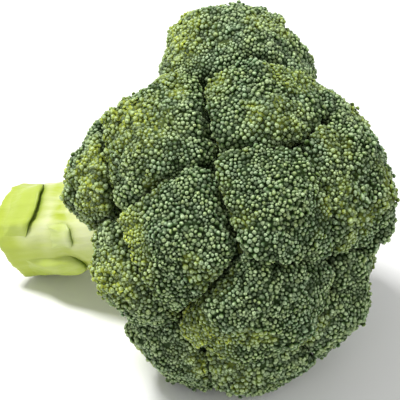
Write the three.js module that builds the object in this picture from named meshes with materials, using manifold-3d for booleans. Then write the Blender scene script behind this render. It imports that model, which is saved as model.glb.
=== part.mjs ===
// A head of broccoli, picked and trimmed, lying on its side.
//
// Units are millimetres and degrees. In the finished part +Z is up, and +X points from the cut end of the
// stalk towards the tip of the crown. The origin is on the surface, under the middle of the head.
//
// Everything is modelled in the head's own frame, which is then tipped onto its side:
//   local +Z  along the stalk, from its cut end to the tip of the crown
//   local +X  the flank of the head that faces up
//   rise      distance along the stalk from the middle of the crown
//   spread    distance out from the stalk's axis
//   turn      angle round the stalk, 0 on the flank that faces up, 90 towards the front (-Y)

import * as THREE from "three";
import { ConvexGeometry } from "three/addons/geometries/ConvexGeometry.js";
import { ConvexHull } from "three/addons/math/ConvexHull.js";
import { mergeVertices } from "three/addons/utils/BufferGeometryUtils.js";
import Module from "manifold-3d";

const wasm = await Module();
wasm.setup();

// ---------------------------------------------------------------- how the head lies
const TILT = 23;                // the stalk's axis climbs towards the crown
const CROWN_HEIGHT = 60.1;      // middle of the crown above the surface

// ---------------------------------------------------------------- the stalk
const STALK_LENGTH = 108.8;     // from the middle of the crown back to the cut end
const STEM_RADII = [            // [distance from the cut end, radius]
  [0, 19.9], [16, 18.9], [50, 17.7], [80, 15], [108, 12], [128, 8],
];
const STEM_SIDES = 24;
const STEM_RINGS = 10;
const STEM_RIBS = 5;            // soft ribs that run along the stem
const STEM_RIB_DEPTH = 0.03;    // as a share of the radius
const FORK_DEPTH = 30;          // a branch leaves the stem this far below its floret's middle
const BRANCH_SIDES = 9;
const BRANCH_RINGS = 2;
const BRANCH_START = 4;         // radius where a branch leaves the stem
const BRANCH_END = 0.5;         // radius under the floret, as a share of the floret's radius
const BRANCH_FLARE = 1.7;       // higher keeps a branch slim for longer before it opens out
const BRANCH_FLUTES = 3;        // side branches bundled in each branch
const BRANCH_FLUTE_DEPTH = 0.09;

// ---------------------------------------------------------------- the cut leaf bases on the stalk
const LEAF_BASES = [            // lengths along the stalk are from its cut end
  { name: "leaf_base_upper", turn: 33, halfWidth: 47, thickness: 3,
    start: 1.5, reach: 23, slant: 0, curve: 8 },
  { name: "leaf_base_front", turn: 76, halfWidth: 22, thickness: 1.7,
    start: 24.5, reach: 41.5, slant: 0, curve: 5 },
  { name: "leaf_base_lower", turn: 126, halfWidth: 22, thickness: 3.4,
    start: 2.5, reach: 40, slant: -2, curve: 12 },
  { name: "leaf_base_back", turn: 244, halfWidth: 38, thickness: 2.8,
    start: 2.5, reach: 27, slant: -5, curve: 6 },
];
const LEAF_BASE_MARGIN = 0.7;   // thickness along the margins
const LEAF_BASE_SWELL = 1.3;    // higher keeps a base thin for longer before its cut edge
const LEAF_BASE_STEPS = 6;

// ---------------------------------------------------------------- the florets
const FLORETS = [
  { name: "floret_top_large", rise: -0.4, spread: 53, turn: 325, radius: 31.7 },
  { name: "floret_top_middle", rise: 20, spread: 27.5, turn: 352, radius: 29.6 },
  { name: "floret_top_back", rise: 28, spread: 23, turn: 308, radius: 27.4 },
  { name: "floret_front_upper", rise: -8, spread: 30.7, turn: 24.7, radius: 33.5 },
  { name: "floret_stalk_side_upper", rise: -29.1, spread: 39, turn: 41, radius: 18.6 },
  { name: "floret_stalk_side_front", rise: -12.1, spread: 35.5, turn: 88, radius: 24.9 },
  { name: "floret_front_middle", rise: 8, spread: 30.5, turn: 76, radius: 30.4 },
  { name: "floret_tip_front", rise: 28.5, spread: 18.5, turn: 63, radius: 29 },
  { name: "floret_tip_middle", rise: 33, spread: 6, turn: 316, radius: 31.5 },
  { name: "floret_tip_inner", rise: 27, spread: 13, turn: 168, radius: 21 },
  { name: "floret_tip_back", rise: 30, spread: 14.5, turn: 265, radius: 29.8 },
  { name: "floret_front_lower", rise: 19, spread: 27.5, turn: 116, radius: 30.9 },
  { name: "floret_tip_lower", rise: 17.5, spread: 30, turn: 178, radius: 31.2 },
  { name: "floret_stalk_side_lower", rise: -13.4, spread: 39.4, turn: 142.8, radius: 27.8 },
  { name: "floret_bottom_front", rise: 2.6, spread: 39, turn: 157, radius: 31.6 },
  { name: "floret_bottom_back", rise: 1, spread: 37.5, turn: 205, radius: 30.9 },
  { name: "floret_back_tip", rise: 16.5, spread: 28, turn: 229, radius: 24.3 },
  { name: "floret_back_lower", rise: -3.5, spread: 37, turn: 250, radius: 32 },
  { name: "floret_back_upper", rise: 13.5, spread: 27.5, turn: 281, radius: 31.5 },
  { name: "floret_under_middle", rise: -17.5, spread: 28.5, turn: 180, radius: 23 },
  { name: "floret_stalk_side_back", rise: -16.5, spread: 36, turn: 287, radius: 28 },
  { name: "floret_under_back", rise: -19.5, spread: 37, turn: 217, radius: 22 },
];
const GAP = 0.4;                // clear space between neighbouring pieces
const LEAST_ROOM = 4.5;         // a floret's middle is at least this far from the neighbour it meets
const BLEND = 3;                // how softly neighbouring florets run together
const UNDERSIDE = 0.35;         // a floret's flat underside, below its middle, as a share of its radius
const CLUMP_COUNT = 15;         // swellings all round a floret
const CLUMP_OFFSET = 0.6;       // their middles and radii, as shares of the floret's radius
const CLUMP_RADIUS = 0.43;
const CLUMP_JITTER = 0.06;
const CORE_RADIUS = 0.93;       // the rounded core that fills the floret between its clumps
const CLUSTER_SPACING = 10.1;   // clusters of buds that cover a floret
const CLUSTER_RELIEF = 2.3;     // from the top of a cluster down to the valleys between clusters
const CLUSTER_JITTER = 0.7;     // how much the tops differ in height
const SHOULDER_REACH = 0.3;     // shoulders of a cluster, as a share of the spacing, and their drop
const SHOULDER_DROP = 0.3;
const SHOULDERS = 6;
const EDGE_ROUNDING = 3;        // rounds a floret where it meets its neighbours
const RIM_SPACING = 6;          // between corners along the rim where neighbours meet
const HIDDEN_SPACING = 25;      // angle between points on the hidden faces
const CLUMP_SCATTER = 0.2;      // how far clumps and clusters stray from even spacing
const CLUSTER_SCATTER = 0.1;
const SEED = 7301;

const radians = THREE.MathUtils.degToRad;
const GOLDEN_ANGLE = Math.PI * (3 - Math.sqrt(5));
const HEXAGON_SHARE = Math.sqrt(3) / 2;   // area of each place in a honeycomb, over its spacing squared

// The way up from the surface, in the head's own frame, and how high a point of that frame is.
const skyward = new THREE.Vector3(Math.cos(radians(TILT)), 0, Math.sin(radians(TILT)));
const heightAbove = (point) => CROWN_HEIGHT + point.dot(skyward);

const inHead = ({ rise, spread, turn }) =>
  new THREE.Vector3(spread * Math.cos(radians(turn)), spread * Math.sin(radians(turn)), rise);

const SPHERES = FLORETS.map((floret) => ({ middle: inHead(floret), radius: floret.radius }));

// Repeatable random numbers from 0 to 1.
function randomFrom(seed) {
  let state = seed;
  return () => {
    state = (state + 0x6d2b79f5) | 0;
    let mixed = Math.imul(state ^ (state >>> 15), 1 | state);
    mixed = (mixed + Math.imul(mixed ^ (mixed >>> 7), 61 | mixed)) ^ mixed;
    return ((mixed ^ (mixed >>> 14)) >>> 0) / 4294967296;
  };
}

// How many directions fill the sphere at an angle from each to the next.
const directionCount = (angle) => Math.round((4 * Math.PI) / (HEXAGON_SHARE * angle ** 2));

// Directions spread evenly over the unit sphere on a spiral, each moved a little.
function evenDirections(count, random, jitter) {
  const spacing = Math.sqrt((4 * Math.PI) / count);
  const startTurn = random() * 2 * Math.PI;
  return Array.from({ length: count }, (_, index) => {
    const height = 1 - (2 * index + 1) / count;
    const around = Math.sqrt(1 - height * height);
    const angle = startTurn + index * GOLDEN_ANGLE;
    const direction = new THREE.Vector3(around * Math.cos(angle), around * Math.sin(angle), height);
    const nudge = new THREE.Vector3(random() - 0.5, random() - 0.5, random() - 0.5);
    return direction.addScaledVector(nudge, 2 * jitter * spacing).normalize();
  });
}

// The triangles of the convex hull of directions on the unit sphere, as triples of indices.
function sphereTriangles(directions) {
  const indexOf = new Map(directions.map((direction, index) => [direction, index]));
  const hull = new ConvexHull().setFromPoints(directions);
  return hull.faces.map((face) => {
    const corners = [face.edge.tail(), face.edge.head(), face.edge.next.head()];
    return corners.map((corner) => indexOf.get(corner.point));
  });
}

// The smaller of two lengths, blended where they are close, and never more than either.
function blendedMinimum(a, b, width) {
  const overlap = Math.max(width - Math.abs(a - b), 0) / width;
  return Math.min(a, b) - (overlap * overlap * width) / 4;
}

// A closed geometry from points and triples of indices.
function closedGeometry(points, triangles) {
  const geometry = new THREE.BufferGeometry().setFromPoints(points);
  geometry.setIndex(triangles.flat());
  return geometry;
}

// ---------------------------------------------------------------- floret
// Flat walls that keep a floret clear of its neighbours: a direction and a distance from its middle.
function wallsOf(floret) {
  const middle = inHead(floret);
  const walls = FLORETS.filter((other) => other !== floret).map((other) => {
    const normal = inHead(other).sub(middle);
    const apart = normal.length();
    const meeting = (apart * apart + floret.radius ** 2 - other.radius ** 2) / (2 * apart);
    const share = THREE.MathUtils.clamp(meeting, LEAST_ROOM, apart - LEAST_ROOM);
    return { normal: normal.normalize(), distance: share - GAP / 2 };
  });
  walls.push({ normal: outwardOf(floret).negate(), distance: UNDERSIDE * floret.radius });
  return walls;
}

// The point on the stem where a floret's branch starts, and the way the floret faces.
const forkOf = (floret) => new THREE.Vector3(0, 0, floret.rise - FORK_DEPTH);
const outwardOf = (floret) => inHead(floret).sub(forkOf(floret)).normalize();

// How far inside the crown a point is, where the florets' spheres run softly together.
function depthInCrown(point) {
  const pull = ({ middle, radius }) => Math.exp((radius - point.distanceTo(middle)) / BLEND);
  return BLEND * Math.log(SPHERES.reduce((sum, sphere) => sum + pull(sphere), 0));
}

// How far the crown's surface is from a floret's middle in a direction, or the limit where that is nearer.
function crownReach(middle, direction, limit) {
  let inside = 0;
  let outside = limit;
  if (depthInCrown(middle.clone().addScaledVector(direction, limit)) > 0) return limit;
  for (let halving = 0; halving < 18; halving += 1) {
    const half = (inside + outside) / 2;
    const depth = depthInCrown(middle.clone().addScaledVector(direction, half));
    if (depth > 0) inside = half;
    else outside = half;
  }
  return inside;
}

// How far a floret's clumps stand out of its sphere in a direction. It is negative between them.
function swelling(direction, radius, clumps) {
  const reaches = clumps.map((clump) => {
    const along = direction.dot(clump.direction) * clump.offset;
    const inside = clump.radius ** 2 - clump.offset ** 2 + along ** 2;
    return inside > 0 ? along + Math.sqrt(inside) : 0;
  });
  return Math.max(CORE_RADIUS * radius, ...reaches) - radius;
}

// Directions of the rim where a floret's surface meets one of its walls.
function rimDirections({ normal, distance }, radius, openReach) {
  const sideways = new THREE.Vector3(0, 0, 1).cross(normal).normalize();
  const steps = Math.round((2 * Math.PI * radius) / RIM_SPACING);
  const rim = [];
  for (let step = 0; step < steps; step += 1) {
    const lean = (angle) => normal.clone().applyAxisAngle(sideways, angle)
      .applyAxisAngle(normal, (step * 2 * Math.PI) / steps);
    let near = 0;
    let far = Math.PI / 2;
    for (let halving = 0; halving < 12; halving += 1) {
      const half = (near + far) / 2;
      if (distance / Math.cos(half) < openReach(lean(half))) near = half;
      else far = half;
    }
    if (near > 0) rim.push(lean(near));
  }
  return rim;
}

// A domed head of bud clusters with a flat underside, about its own middle. Growth makes it larger all round.
function floretGeometry(floret, growth = 0) {
  const { radius } = floret;
  const middle = inHead(floret);
  const random = randomFrom(SEED + FLORETS.indexOf(floret) * 101);
  const walls = wallsOf(floret);
  const floorDistance = heightAbove(middle);
  const clumps = evenDirections(CLUMP_COUNT, random, CLUMP_SCATTER).map((direction) => ({
    direction,
    offset: CLUMP_OFFSET * radius,
    radius: (CLUMP_RADIUS + CLUMP_JITTER * (random() - 0.5)) * radius,
  }));

  const wallReach = (direction) => Math.min(...walls.map(({ normal, distance }) => {
    const facing = direction.dot(normal);
    return facing > 0 ? distance / facing : Infinity;
  }));
  const openReach = (direction) =>
    crownReach(middle, direction, 2 * radius) + swelling(direction, radius, clumps);
  const reach = (direction, drop) => {
    const open = openReach(direction) - drop;
    let length = walls.reduce((shortest, { normal, distance }) => {
      const facing = direction.dot(normal);
      return facing > 0 ? blendedMinimum(shortest, distance / facing, EDGE_ROUNDING) : shortest;
    }, open);
    const falling = -direction.dot(skyward);
    if (falling > 0) length = Math.min(length, floorDistance / falling);
    return length + growth;
  };
  const isOpen = (direction) => wallReach(direction) > openReach(direction) - CLUSTER_RELIEF;

  const clusters = evenDirections(directionCount(CLUSTER_SPACING / radius), random, CLUSTER_SCATTER);
  const directions = [];
  const points = [];
  const place = (direction, drop) => {
    directions.push(direction);
    points.push(direction.clone().multiplyScalar(reach(direction, drop)));
  };

  clusters.filter(isOpen).forEach((cluster) => {
    const lift = CLUSTER_JITTER * (random() - 0.5);
    place(cluster, -lift);
    const sideways = new THREE.Vector3(0, 0, 1).cross(cluster).normalize();
    const shoulderAngle = (SHOULDER_REACH * CLUSTER_SPACING) / radius;
    const first = cluster.clone().applyAxisAngle(sideways, shoulderAngle);
    for (let step = 0; step < SHOULDERS; step += 1) {
      const shoulder = first.clone().applyAxisAngle(cluster, (step * 2 * Math.PI) / SHOULDERS);
      place(shoulder, SHOULDER_DROP * CLUSTER_RELIEF - lift);
    }
  });
  sphereTriangles(clusters).forEach((corners) => {
    const around = corners.map((index) => clusters[index]);
    if (!around.every(isOpen)) return;
    const valley = around[0].clone().add(around[1]).add(around[2]).normalize();
    place(valley, CLUSTER_RELIEF);
  });
  walls.forEach((wall) => {
    rimDirections(wall, radius, openReach).forEach((direction) => {
      if (wallReach(direction) > wall.distance / direction.dot(wall.normal) - GAP) place(direction, 0);
    });
  });
  evenDirections(directionCount(radians(HIDDEN_SPACING)), random, 0).forEach((direction) => {
    if (!isOpen(direction)) place(direction, 0);
  });
  return closedGeometry(points, sphereTriangles(directions));
}

// ---------------------------------------------------------------- stalk
// Radius of the stem at a distance from its cut end, before its ribs.
function roundRadius(distance) {
  const next = STEM_RADII.findIndex(([start]) => start >= distance);
  const [endPlace, endRadius] = STEM_RADII[Math.max(next, 1)];
  const [startPlace, startRadius] = STEM_RADII[Math.max(next, 1) - 1];
  const share = THREE.MathUtils.smoothstep(distance, startPlace, endPlace);
  return THREE.MathUtils.lerp(startRadius, endRadius, share);
}

// How much the ribs swell the stem at an angle round it.
const ribAt = (angle) => 1 + STEM_RIB_DEPTH * Math.cos(STEM_RIBS * angle);

// A closed solid in manifold-3d's form from a closed geometry.
function solidFrom(geometry) {
  const bare = new THREE.BufferGeometry();
  bare.setAttribute("position", geometry.getAttribute("position"));
  bare.setIndex(geometry.getIndex());
  const merged = mergeVertices(bare, 1e-4);
  return new wasm.Manifold(new wasm.Mesh({
    numProp: 3,
    vertProperties: new Float32Array(merged.getAttribute("position").array),
    triVerts: new Uint32Array(merged.getIndex().array),
  }));
}

function geometryFrom(solid) {
  const mesh = solid.getMesh();
  const geometry = new THREE.BufferGeometry();
  geometry.setAttribute("position", new THREE.BufferAttribute(mesh.vertProperties, 3));
  geometry.setIndex(new THREE.BufferAttribute(mesh.triVerts, 1));
  return geometry;
}

function stemGeometry() {
  const last = STEM_RADII.at(-1)[0];
  const outline = [new THREE.Vector2(0, 0)];
  for (let ring = 0; ring <= STEM_RINGS; ring += 1) {
    const distance = (last * ring) / STEM_RINGS;
    outline.push(new THREE.Vector2(roundRadius(distance), distance));
  }
  outline.push(new THREE.Vector2(0, last + STEM_RADII.at(-1)[1] / 2));
  const geometry = new THREE.LatheGeometry(outline, STEM_SIDES);
  geometry.rotateX(Math.PI / 2);
  const position = geometry.getAttribute("position");
  for (let index = 0; index < position.count; index += 1) {
    const rib = ribAt(Math.atan2(position.getY(index), position.getX(index)));
    position.setX(index, position.getX(index) * rib);
    position.setY(index, position.getY(index) * rib);
  }
  geometry.translate(0, 0, -STALK_LENGTH);
  return geometry;
}

// A fluted branch from the stem that opens out under its floret.
function branchGeometry(floret) {
  const fork = forkOf(floret);
  const outward = outwardOf(floret);
  const length = inHead(floret).distanceTo(fork) - UNDERSIDE * floret.radius - 2 * GAP;
  const geometry = new THREE.CylinderGeometry(1, 1, 1, BRANCH_SIDES, BRANCH_RINGS);
  const position = geometry.getAttribute("position");
  const upright = new THREE.Quaternion().setFromUnitVectors(new THREE.Vector3(0, 1, 0), outward);
  for (let index = 0; index < position.count; index += 1) {
    const point = new THREE.Vector3().fromBufferAttribute(position, index);
    const along = point.y + 0.5;
    const flute = 1 + BRANCH_FLUTE_DEPTH * Math.cos(BRANCH_FLUTES * Math.atan2(point.z, point.x));
    const wide = THREE.MathUtils.lerp(BRANCH_START, BRANCH_END * floret.radius, along ** BRANCH_FLARE);
    point.set(point.x * wide * flute, along * length, point.z * wide * flute);
    point.applyQuaternion(upright).add(fork);
    position.setXYZ(index, point.x, point.y, point.z);
  }
  return geometry;
}

// The convex room that a floret takes up, a little larger than the floret all round.
function clearanceGeometry(floret) {
  const position = floretGeometry(floret, GAP).getAttribute("position");
  const corners = Array.from({ length: position.count }, (_, index) =>
    new THREE.Vector3().fromBufferAttribute(position, index).add(inHead(floret)));
  return new ConvexGeometry(corners);
}

// The stem with all its branches, kept clear of the florets and flat where it touches the surface.
function stalkGeometry() {
  const branches = FLORETS.map((floret) => solidFrom(branchGeometry(floret)));
  const grown = branches.reduce((sum, branch) => sum.add(branch), solidFrom(stemGeometry()));
  const rooms = FLORETS.map((floret) => solidFrom(clearanceGeometry(floret)));
  const cleared = rooms.reduce((solid, room) => solid.subtract(room), grown);
  const trimmed = cleared.trimByPlane(skyward.toArray(), -CROWN_HEIGHT);
  // The fused branches leave pockets sealed among them, which are filled by keeping the outermost skin.
  const skins = trimmed.decompose().sort((a, b) => b.volume() - a.volume());
  return geometryFrom(skins[0]);
}

// ---------------------------------------------------------------- leaf bases
// A leaf's foot hugging the stem. It swells towards the edge where the leaf was cut off, which may slant
// and curves back at its sides.
function leafBaseGeometry({ turn, halfWidth, start, reach, slant, curve, thickness }) {
  const count = LEAF_BASE_STEPS;
  const inner = [];
  const outer = [];
  for (let across = 0; across <= count; across += 1) {
    const sideways = (2 * across) / count - 1;
    const angle = radians(turn + sideways * halfWidth);
    const cutEdge = reach + slant * sideways - curve * sideways ** 2;
    for (let along = 0; along <= count; along += 1) {
      const share = along / count;
      const distance = THREE.MathUtils.lerp(start, cutEdge, share);
      const swell = share ** LEAF_BASE_SWELL * Math.sqrt(1 - sideways ** 2);
      const near = roundRadius(distance) * ribAt(angle) + GAP;
      const far = near + LEAF_BASE_MARGIN + (thickness - LEAF_BASE_MARGIN) * swell;
      const height = distance - STALK_LENGTH;
      inner.push(new THREE.Vector3(near * Math.cos(angle), near * Math.sin(angle), height));
      outer.push(new THREE.Vector3(far * Math.cos(angle), far * Math.sin(angle), height));
    }
  }
  const at = (across, along, side) => across * (count + 1) + along + side * inner.length;
  const triangles = [];
  const quad = (a, b, c, d) => triangles.push([a, b, c], [a, c, d]);
  for (let i = 0; i < count; i += 1) {
    for (let j = 0; j < count; j += 1) {
      quad(at(i, j, 1), at(i + 1, j, 1), at(i + 1, j + 1, 1), at(i, j + 1, 1));
      quad(at(i, j, 0), at(i, j + 1, 0), at(i + 1, j + 1, 0), at(i + 1, j, 0));
    }
    quad(at(i, 0, 0), at(i + 1, 0, 0), at(i + 1, 0, 1), at(i, 0, 1));
    quad(at(i, count, 1), at(i + 1, count, 1), at(i + 1, count, 0), at(i, count, 0));
    quad(at(0, i, 0), at(0, i, 1), at(0, i + 1, 1), at(0, i + 1, 0));
    quad(at(count, i, 1), at(count, i, 0), at(count, i + 1, 0), at(count, i + 1, 1));
  }
  return closedGeometry([...inner, ...outer], triangles);
}

// ---------------------------------------------------------------- assembly
function piece(name, geometry, color, roughness) {
  const material = new THREE.MeshStandardMaterial({ color, roughness, metalness: 0, flatShading: true });
  const mesh = new THREE.Mesh(geometry, material);
  mesh.name = name;
  return mesh;
}

const head = new THREE.Group();
head.add(piece("stalk", stalkGeometry(), 0xcfdc82, 0.45));
LEAF_BASES.forEach((base) => {
  head.add(piece(base.name, leafBaseGeometry(base), 0xc4d676, 0.45));
});
FLORETS.forEach((floret) => {
  const mesh = piece(floret.name, floretGeometry(floret), 0x5a6f4c, 0.75);
  mesh.position.copy(inHead(floret));
  head.add(mesh);
});

// Tip the head onto its side and set it on the surface over the origin.
const tipward = new THREE.Vector3(Math.cos(radians(TILT)), 0, Math.sin(radians(TILT)));
const front = new THREE.Vector3(0, -1, 0);
const flank = front.clone().cross(tipward);
head.quaternion.setFromRotationMatrix(new THREE.Matrix4().makeBasis(flank, front, tipward));
const box = new THREE.Box3().setFromObject(head, true);
const centre = box.getCenter(new THREE.Vector3());
head.position.set(-centre.x, -centre.y, CROWN_HEIGHT);

const group = new THREE.Group();
group.add(head);

export default group;
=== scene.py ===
"""Dresses the broccoli head: buds on every floret, a smooth ribbed stalk, and leaf bases with cut edges."""

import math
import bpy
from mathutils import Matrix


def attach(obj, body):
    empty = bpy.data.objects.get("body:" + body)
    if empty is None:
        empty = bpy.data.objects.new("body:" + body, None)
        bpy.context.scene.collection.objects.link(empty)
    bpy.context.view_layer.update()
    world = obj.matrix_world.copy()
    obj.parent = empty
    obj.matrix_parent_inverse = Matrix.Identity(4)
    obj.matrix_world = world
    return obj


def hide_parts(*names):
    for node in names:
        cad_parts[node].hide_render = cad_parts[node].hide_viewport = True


bl_info = {
    "name": "Broccoli Head",
    "version": (1, 0, 0),
    "blender": (4, 5, 0),
    "location": "View3D > Sidebar > Broccoli",
    "description": "Covers the florets of a broccoli head with buds and finishes its stalk and leaf bases",
    "category": "Object",
}

import bmesh
import bpy
import numpy as np
from bpy.props import FloatProperty, FloatVectorProperty, IntProperty, PointerProperty
from mathutils import Matrix, Vector
from mathutils.bvhtree import BVHTree

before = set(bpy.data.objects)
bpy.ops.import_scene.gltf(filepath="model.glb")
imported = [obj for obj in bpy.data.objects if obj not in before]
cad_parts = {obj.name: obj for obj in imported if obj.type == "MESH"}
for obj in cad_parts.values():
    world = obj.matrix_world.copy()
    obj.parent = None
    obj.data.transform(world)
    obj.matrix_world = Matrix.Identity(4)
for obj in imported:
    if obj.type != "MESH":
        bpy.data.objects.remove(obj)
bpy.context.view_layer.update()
MM = 0.001
FLORETS = sorted(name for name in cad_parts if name.startswith("floret_"))
LEAF_BASES = sorted(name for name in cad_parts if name.startswith("leaf_base_"))

# The head's own frame: its axis runs from the cut end of the stalk to the tip of the crown.
CROWN_MIDDLE = Vector((23.33, -3.70, 60.1)) * MM
TILT = math.radians(23)
AXIS = Vector((math.cos(TILT), 0, math.sin(TILT)))
FLANK = Vector((-math.sin(TILT), 0, math.cos(TILT)))    # turn 0 round the axis
FRONT = Vector((0, -1, 0))                              # turn 90


# ---------------------------------------------------------------- sizes and colours
def length_setting(name, description, value):
    return FloatProperty(name=name, description=description, default=value, unit="LENGTH")


def angle_setting(name, description, degrees):
    return FloatProperty(name=name, description=description, default=math.radians(degrees), subtype="ANGLE")


def colour_setting(name, description, value):
    return FloatVectorProperty(name=name, description=description, default=value, subtype="COLOR")


class BroccoliFloretSettings(bpy.types.PropertyGroup):
    bud_spacing: length_setting("Bud Spacing", "Distance from one bud to the next", 1.78 * MM)
    bud_variety: FloatProperty(
        name="Bud Variety", description="How much the buds differ in size",
        default=0.13, subtype="FACTOR", min=0, max=0.5)
    bud_fullness: FloatProperty(
        name="Bud Fullness", description="Bud diameter as a share of the room that it has",
        default=1.08, subtype="FACTOR", min=0.2, max=1.5)
    cluster_spacing: length_setting(
        "Cluster Spacing", "Distance from one cluster of buds to the next", 5.6 * MM)
    cluster_relief: length_setting(
        "Cluster Relief", "Height of a cluster above the furrows round it", 1.6 * MM)
    clump_spacing: length_setting("Clump Spacing", "Distance from one clump of clusters to the next", 14 * MM)
    clump_relief: length_setting("Clump Relief", "Height of a clump above the furrows round it", 1.6 * MM)
    seed: IntProperty(name="Seed", description="Starts every random draw", default=11)
    # Painted shade: the dark green low on each bud, and between loose buds on the core.
    bud_shade: colour_setting("Bud Green", "Colour low on the buds", (0.018, 0.050, 0.003))
    bud_grey: colour_setting("Bud Grey-Green", "Colour of the shoulders of the buds", (0.200, 0.288, 0.100))
    bud_blue: colour_setting("Bud Blue-Green", "Colour of the cooler buds", (0.115, 0.200, 0.098))
    bud_olive: colour_setting("Bud Olive", "Colour of the warmer buds", (0.215, 0.270, 0.052))
    # Partly the buds' pale waxy bloom, partly a painted highlight round their tips.
    bud_bloom_highlight: colour_setting("Bloom", "Pale waxy bloom round the tips", (0.62, 0.72, 0.45))
    bud_loose: colour_setting("Young Green", "Yellow-green of loose buds and their stems", (0.50, 0.58, 0.07))
    stem: colour_setting("Small Stems", "Pale green of the small stems under the florets", (0.40, 0.52, 0.17))
    # Painted shade in the furrows between buds, clusters and florets, also the colour of the cores.
    furrow_shade: colour_setting("Furrow Green", "Colour between the buds", (0.010, 0.026, 0.002))


class BroccoliStalkSettings(bpy.types.PropertyGroup):
    grain: length_setting("Mesh Size", "Size of the stalk's mesh faces", 1.3 * MM)
    unevenness: length_setting("Unevenness", "Height of the soft swellings of the stalk", 0.6 * MM)
    flesh: colour_setting("Flesh", "Pale colour of the stalk", (0.585, 0.610, 0.370))
    skin: colour_setting("Skin", "Stronger yellow-green of the stalk's skin", (0.35, 0.42, 0.045))
    shoot: colour_setting("Shoot", "Green of the branches near the florets", (0.36, 0.50, 0.14))
    # Darker green in the creases by the leaf bases: partly the stalk's own green, partly painted shade.
    crease: colour_setting("Crease", "Green in the creases", (0.13, 0.20, 0.02))
    pith: colour_setting("Pith", "Cut flesh in the middle of the stalk", (0.80, 0.84, 0.60))
    fibre: colour_setting("Fibre", "Ring of fibres in the cut end", (0.62, 0.60, 0.36))


class BroccoliStageSettings(bpy.types.PropertyGroup):
    azimuth: angle_setting("Azimuth", "Where the camera stands round the head", 31.4)
    elevation: angle_setting("Elevation", "Height of the camera's view", 33.4)
    distance: length_setting("Distance", "From the camera to the middle of the crown", 0.52)
    picture_width: length_setting("Picture Width", "Width in view at the middle of the crown", 0.152)


# ---------------------------------------------------------------- meshes
WAVES = 9                    # in a soft noise
WAVE_COUNTS = (0.6, 1.4)     # how many waves pass in that size, at least and at most
WAVE_GAIN = 1.1


def merged_copy(name):
    """The node's corners and faces, with its loose triangles joined up."""
    shape = bmesh.new()
    shape.from_mesh(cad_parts[name].data)
    bmesh.ops.remove_doubles(shape, verts=shape.verts, dist=0.01 * MM)
    corners = np.array([corner.co[:] for corner in shape.verts])
    faces = [[corner.index for corner in face.verts] for face in shape.faces]
    shape.free()
    return corners, faces


def make_object(name, corners, faces=(), edges=()):
    mesh = bpy.data.meshes.new(name)
    mesh.from_pydata([tuple(corner) for corner in corners], edges, [tuple(face) for face in faces])
    thing = bpy.data.objects.new(name, mesh)
    bpy.context.scene.collection.objects.link(thing)
    return thing


def smooth_shaded(mesh):
    mesh.polygons.foreach_set("use_smooth", [True] * len(mesh.polygons))


def set_attributes(mesh, domain="POINT", **attributes):
    """Stores a number or a vector for each point or corner, under each name."""
    for name, values in attributes.items():
        values = np.asarray(values, dtype=np.float32)
        kind, key = ("FLOAT", "value") if values.ndim == 1 else ("FLOAT_VECTOR", "vector")
        mesh.attributes.new(name, kind, domain).data.foreach_set(key, values.ravel())


def applied(thing):
    """Turns an object with modifiers into a plain mesh."""
    graph = bpy.context.evaluated_depsgraph_get()
    mesh = bpy.data.meshes.new_from_object(thing.evaluated_get(graph), depsgraph=graph)
    thing.modifiers.clear()
    old = thing.data
    thing.data = mesh
    bpy.data.meshes.remove(old)
    mesh.name = thing.name
    return thing


def unit(vectors):
    return vectors / np.linalg.norm(vectors, axis=1, keepdims=True)


def sphere_net(level):
    """Directions and triangles of an even net over the unit sphere."""
    shape = bmesh.new()
    bmesh.ops.create_icosphere(shape, subdivisions=level, radius=1)
    directions = np.array([corner.co[:] for corner in shape.verts])
    faces = np.array([[corner.index for corner in face.verts] for face in shape.faces])
    edges = np.array([[corner.index for corner in edge.verts] for edge in shape.edges])
    shape.free()
    return unit(directions), faces, edges


def softened(values, edges, rounds):
    """Averages each value with its neighbours over the net."""
    size = len(values)
    count = np.bincount(edges.ravel(), minlength=size)
    for _ in range(rounds):
        total = np.bincount(edges[:, 0], values[edges[:, 1]], size)
        total += np.bincount(edges[:, 1], values[edges[:, 0]], size)
        values = 0.5 * values + 0.5 * total / count
    return values


def smooth_noise(points, size, seed):
    """A soft random value from 0 to 1 at each point, from a few waves of about that size."""
    random = np.random.default_rng(seed)
    waves = unit(random.normal(size=(WAVES, 3)))
    waves *= 2 * np.pi / size * random.uniform(*WAVE_COUNTS, (WAVES, 1))
    value = np.sin(points @ waves.T + random.uniform(0, 2 * np.pi, WAVES)).sum(axis=1)
    return np.clip(0.5 + value / WAVES * WAVE_GAIN, 0, 1)


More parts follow.
